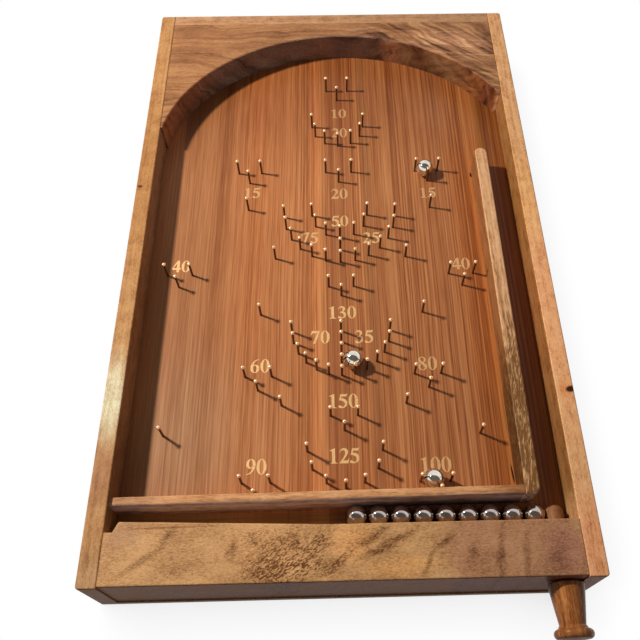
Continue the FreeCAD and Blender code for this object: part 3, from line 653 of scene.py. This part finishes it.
slot_materials = {
    "bearer_wood": wood("bearer_wood", "Y", bearer_tones, rings=(5.0, 6.0, 150.0, 0.6), roughness=0.6,
                        seed=21.0),
    "pin_brass": brass_pins(),
    "ball_steel": chrome(),
    "steel": zinc(),
}

for subpart in frame["record"]["subparts"]:
    node, slot = subpart["node"], subpart["material_slot"]
    mesh = frame["nodes"][node].data
    mesh.materials.clear()
    mesh.materials.append(node_materials[node] if node in node_materials else slot_materials[slot])


# ---- numerals: outlines on a grid 100 high; a third value marks a rounded point ----
digit_width = 68
digit_height = 100


def turned(contour):
    """A contour turned upside down on the grid."""
    return [(digit_width - x, digit_height - y, *rest) for x, y, *rest in contour]


six = [
    [(61, 102), (61, 98), (42, 90, 1), (28, 73, 1), (24, 57), (38, 61, 1), (56, 53, 1), (63, 32, 1),
     (55, 9, 1), (34, -1, 1), (12, 9, 1), (4, 36, 1), (13, 69, 1), (34, 93, 1)],
    [(23, 49), (33, 54, 1), (42, 46, 1), (44, 27, 1), (41, 9, 1), (34, 3, 1), (26, 11, 1), (22, 31, 1)],
]
digits = {
    "0": [[(34, 101, 1), (56, 86, 1), (65, 50, 1), (56, 14, 1), (34, -1, 1), (12, 14, 1), (3, 50, 1),
           (12, 86, 1)],
          [(34, 97, 1), (43, 83, 1), (46, 50, 1), (43, 17, 1), (34, 3, 1), (25, 17, 1), (22, 50, 1),
           (25, 83, 1)]],
    "1": [[(10, 86), (42, 101), (45, 101), (45, 13), (49, 6, 1), (60, 4), (60, 0), (12, 0), (12, 4),
           (22, 6, 1), (26, 13), (26, 74), (23, 82, 1), (17, 84, 1), (10, 82)]],
    "2": [[(5, 72), (16, 93, 1), (34, 101, 1), (53, 93, 1), (60, 74, 1), (52, 53, 1), (28, 19),
           (47, 19), (57, 22, 1), (63, 33), (66, 33), (60, 0), (3, 0), (3, 4), (33, 44, 1), (41, 68, 1),
           (36, 82, 1), (25, 86, 1), (14, 82, 1), (8, 71)]],
    "3": [[(5, 78), (16, 96, 1), (32, 101, 1), (50, 94, 1), (56, 78, 1), (52, 66, 1), (44, 58, 1),
           (56, 48, 1), (61, 32, 1), (55, 12, 1), (40, 2, 1), (20, -1, 1), (7, 3, 1), (3, 11, 1),
           (8, 18, 1), (15, 18, 1), (25, 11, 1), (34, 8, 1), (42, 15, 1), (44, 28, 1), (38, 41, 1),
           (17, 48), (17, 52), (32, 58, 1), (38, 73, 1), (34, 84, 1), (25, 88, 1), (15, 85, 1), (8, 76)]],
    "4": [[(38, 101), (55, 101), (55, 37), (66, 37), (66, 22), (55, 22), (55, 0), (36, 0), (36, 22),
           (2, 22), (2, 36)],
          [(36, 37), (36, 76), (11, 37)]],
    "5": [[(18, 99), (56, 99), (61, 103), (63, 102), (57, 82), (24, 82), (21, 70), (41, 66, 1),
           (56, 54, 1), (62, 34, 1), (54, 11, 1), (37, 1, 1), (19, -1, 1), (6, 4, 1), (3, 11, 1),
           (8, 19, 1), (16, 18, 1), (27, 10, 1), (37, 11, 1), (44, 19, 1), (45, 31, 1), (38, 44, 1),
           (24, 52, 1), (7, 54)]],
    "6": six,
    "7": [[(10, 100), (65, 100), (65, 95), (36, 0), (19, 0), (47, 82), (24, 82), (13, 78, 1), (7, 67),
           (3, 68)]],
    "8": [[(34, 101, 1), (53, 94, 1), (59, 78, 1), (54, 64, 1), (45, 56, 1), (58, 43, 1), (63, 26, 1),
           (55, 8, 1), (34, -1, 1), (12, 8, 1), (5, 25, 1), (9, 39, 1), (22, 50, 1), (11, 63, 1),
           (7, 77, 1), (15, 94, 1)],
          [(34, 97, 1), (43, 90, 1), (46, 78, 1), (43, 66, 1), (37, 61, 1), (25, 72, 1), (21, 84, 1),
           (25, 93, 1)],
          [(27, 45, 1), (40, 34, 1), (47, 20, 1), (43, 8, 1), (35, 3, 1), (25, 8, 1), (19, 24, 1),
           (21, 37, 1)]],
    "9": [turned(contour) for contour in six],
}
numeral_height = 12.0
paint_thickness = 0.06

# text, its cup, and its middle as an offset in mm from the middle of the cup's rim
numerals = [
    ("10", "ten_pins", 1.3, -33.3),
    ("20", "upper_twenty_pins", 1.8, -9.4),
    ("20", "lower_twenty_pins", 0.3, -28),
    ("15", "left_fifteen_pins", 2.4, -25.3),
    ("15", "right_fifteen_pins", -0.3, -28.3),
    ("50", "fifty_pins", 0.3, -8.1),
    ("75", "seventy_five_pins", 4.3, -24.9),
    ("25", "twenty_five_pins", -3.3, -25.8),
    ("130", "one_hundred_thirty_pins", 0.3, -27.8),
    ("40", "left_forty_pins", 0.1, 7.8),
    ("40", "right_forty_pins", 1.3, 8.4),
    ("70", "seventy_pins", 8.2, -7.2),
    ("35", "thirty_five_pins", -6.5, -7.4),
    ("60", "sixty_pins", 0.9, 7.8),
    ("80", "eighty_pins", 0.4, 7.2),
    ("150", "one_hundred_fifty_pins", -0.7, 10.5),
    ("125", "one_hundred_twenty_five_pins", -0.9, -5.8),
    ("90", "ninety_pins", -0.3, 10.6),
    ("100", "one_hundred_pins", 1, 10.9),
]


def to_mesh(curve_object, name):
    """A mesh object with the shape of a curve object, which is then removed."""
    bpy.context.view_layer.update()
    evaluated = curve_object.evaluated_get(bpy.context.evaluated_depsgraph_get())
    mesh = bpy.data.meshes.new_from_object(evaluated)
    mesh.transform(curve_object.matrix_world)
    bpy.data.objects.remove(curve_object)
    piece = bpy.data.objects.new(name, mesh)
    bpy.context.scene.collection.objects.link(piece)
    return piece


def numeral(text, cup, shift_x, shift_y):
    """One painted number as a thin solid on the field."""
    low, high = (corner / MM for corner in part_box(cup))
    scale = numeral_height / digit_height
    left = (low.x + high.x) / 2 + shift_x - len(text) * digit_width * scale / 2
    foot = high.y + shift_y - numeral_height / 2
    curve = bpy.data.curves.new("numeral", "CURVE")
    curve.dimensions = "2D"
    curve.fill_mode = "BOTH"
    curve.extrude = paint_thickness / 2 * MM
    curve.resolution_u = 5
    for place, digit in enumerate(text):
        for contour in digits[digit]:
            spline = curve.splines.new("BEZIER")
            spline.use_cyclic_u = True
            spline.bezier_points.add(len(contour) - 1)
            for knot, (x, y, *rounded) in zip(spline.bezier_points, contour):
                knot.co = Vector((left + (x + place * digit_width) * scale, foot + y * scale, 0)) * MM
                knot.handle_left_type = knot.handle_right_type = "AUTO" if rounded else "VECTOR"
    drawing = bpy.data.objects.new("drawing", curve)
    drawing.location.z = (field_z + paint_thickness / 2) * MM
    bpy.context.scene.collection.objects.link(drawing)
    return to_mesh(drawing, "numeral_%s_%s" % (text, cup.replace("_pins", "")))


gold = gold_paint()
for text, cup, shift_x, shift_y in numerals:
    piece = numeral(text, cup, shift_x, shift_y)
    piece.data.materials.append(gold)
    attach(piece, "board")


# ---- spring: a coil with closed ends that shortens as the plunger is drawn ----
spring_wire = 0.9
spring_turns = 6
closed_turns = 0.8
steps_per_turn = 24


def coil():
    """The plunger's spring between the chamber's shoulder and the washer."""
    middle = (spring_low + spring_high) / 2
    radius = (spring_high.x - spring_low.x - spring_wire) / 2
    length = spring_high.y - spring_low.y - spring_wire
    steps = spring_turns * steps_per_turn
    curve = bpy.data.curves.new("coil", "CURVE")
    curve.dimensions = "3D"
    curve.bevel_depth = spring_wire / 2 * MM
    curve.bevel_resolution = 3
    curve.use_fill_caps = True
    spline = curve.splines.new("POLY")
    spline.points.add(steps)
    for step, point in enumerate(spline.points):
        turns = step / steps_per_turn
        angle = 2 * math.pi * turns
        lift = closed_lift(turns) * length
        place = Vector((middle.x + radius * math.cos(angle), spring_low.y + spring_wire / 2 + lift,
                        middle.z + radius * math.sin(angle)))
        point.co = (*(place * MM), 1)
    drawing = bpy.data.objects.new("coil_drawing", curve)
    bpy.context.scene.collection.objects.link(drawing)
    return to_mesh(drawing, "spring_coil")


def closed_lift(turns):
    """Share of the spring's length reached after some turns: slow at both ends, steady between."""
    slow = spring_wire / (spring_high.y - spring_low.y - spring_wire)
    open_turns = spring_turns - 2 * closed_turns
    steady = (1 - 2 * slow * closed_turns) / open_turns
    start = min(turns, closed_turns)
    middle = min(max(turns - closed_turns, 0), open_turns)
    end = max(turns - closed_turns - open_turns, 0)
    return slow * (start + end) + steady * middle


spring = coil()
spring.data.materials.append(slot_materials["steel"])
for polygon in spring.data.polygons:
    polygon.use_smooth = True
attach(spring, "board")
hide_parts("plunger_spring")
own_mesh(spring)


# ---- studio ----
floor_half = 6.0
floor_drop = 0.1 * MM
floor_tone = (0.14, 0.14, 0.14, 1)
shadow_reach = 0.05
shadow_heading = Vector((-0.75, 0.45, 1.0)).normalized()


def seen(look):
    """1 for camera, mirror and glass rays, and 0 for the rays that light the object."""
    path = look.add("ShaderNodeLightPath").outputs
    either = look.math("MAXIMUM", path["Is Camera Ray"], path["Is Glossy Ray"])
    return look.math("MAXIMUM", either, path["Is Transmission Ray"])


def floor():
    """White floor that keeps a soft shadow on the side away from the key lamp."""
    look = Look(bpy.data.materials.new("floor"))
    blocked = {"Distance": shadow_reach, "Normal": look.join(*shadow_heading)}
    openness = look.add("ShaderNodeAmbientOcclusion", blocked, samples=16).outputs["AO"]
    shadow = look.ramp(openness, [(0.15, swatch(208, 208, 209)), (0.50, swatch(243, 243, 243)),
                                  (0.85, white)])
    glow = look.add("ShaderNodeEmission", {0: shadow, 1: 1.0}).outputs[0]
    matt = look.add("ShaderNodeBsdfDiffuse", {0: floor_tone}).outputs[0]
    surface = look.add("ShaderNodeMixShader", {0: seen(look), 1: matt, 2: glow}).outputs[0]
    look.add("ShaderNodeOutputMaterial", {0: surface})
    corners = [(x * floor_half, y * floor_half, 0) for x, y in ((-1, -1), (1, -1), (1, 1), (-1, 1))]
    mesh = bpy.data.meshes.new("floor")
    mesh.from_pydata(corners, [], [(0, 1, 2, 3)])
    mesh.materials.append(look.owner)
    plane = bpy.data.objects.new("floor", mesh)
    plane.location.z = -floor_drop
    bpy.context.scene.collection.objects.link(plane)


def sky():
    """Pale surroundings: white to the camera, white with the dim near side of a room to mirrors, and
    otherwise a weak even light on the object."""
    look = Look(bpy.data.worlds.new("sky"))
    heading = look.add("ShaderNodeTexCoord").outputs["Generated"]
    aside = look.dot(heading, tuple(dim_long_side))
    drawn_in = look.scaled(tuple(dim_long_side), look.math("MULTIPLY", aside, -dim_stretch))
    narrowed = look.vector("NORMALIZE", look.vector("ADD", heading, drawn_in))
    near = look.span(look.dot(narrowed, tuple(dim_heading)), *dim_edge)
    room = look.mix(near, white, dim_colour)
    fill = (*(channel * fill_strength for channel in fill_tint), 1)
    camera_ray = look.add("ShaderNodeLightPath").outputs["Is Camera Ray"]
    colour = look.mix(camera_ray, look.mix(seen(look), fill, room), white)
    light = look.add("ShaderNodeBackground", {0: colour, 1: 1.0}).outputs[0]
    look.add("ShaderNodeOutputWorld", {0: light})
    bpy.context.scene.world = look.owner


def lamp(name, place, target, size, power, tint):
    """Square area lamp aimed at a point."""
    light = bpy.data.lights.new(name, "AREA")
    light.size = size
    light.energy = power
    light.color = tint
    holder = bpy.data.objects.new(name, light)
    holder.location = place
    holder.rotation_euler = (target - place).to_track_quat("-Z", "Y").to_euler()
    bpy.context.scene.collection.objects.link(holder)


floor()
sky()
lamp("key", key_place, key_target, key_size, key_power, key_tint)


# ---- camera ----
def camera():
    """Camera with the picture's own off-centre axis."""
    data = bpy.data.cameras.new("camera")
    data.sensor_width = sensor_width
    data.lens = focal_length_px * sensor_width / image_side
    data.shift_x = (image_side / 2 - image_axis_px[0]) / image_side
    data.shift_y = (image_axis_px[1] - image_side / 2) / image_side
    data.clip_start = 0.01
    forward = Vector((math.sin(camera_turn) * math.cos(camera_drop),
                      math.cos(camera_turn) * math.cos(camera_drop), -math.sin(camera_drop)))
    level = forward.cross(Vector((0, 0, 1))).normalized()
    upward = level.cross(forward)
    right = level * math.cos(camera_roll) + upward * math.sin(camera_roll)
    up = right.cross(forward)
    eye = bpy.data.objects.new("camera", data)
    eye.matrix_world = Matrix.Translation(camera_place) @ Matrix((right, up, -forward)).transposed().to_4x4()
    bpy.context.scene.collection.objects.link(eye)
    bpy.context.scene.camera = eye


camera()
bpy.context.scene.view_settings.view_transform = "Standard"
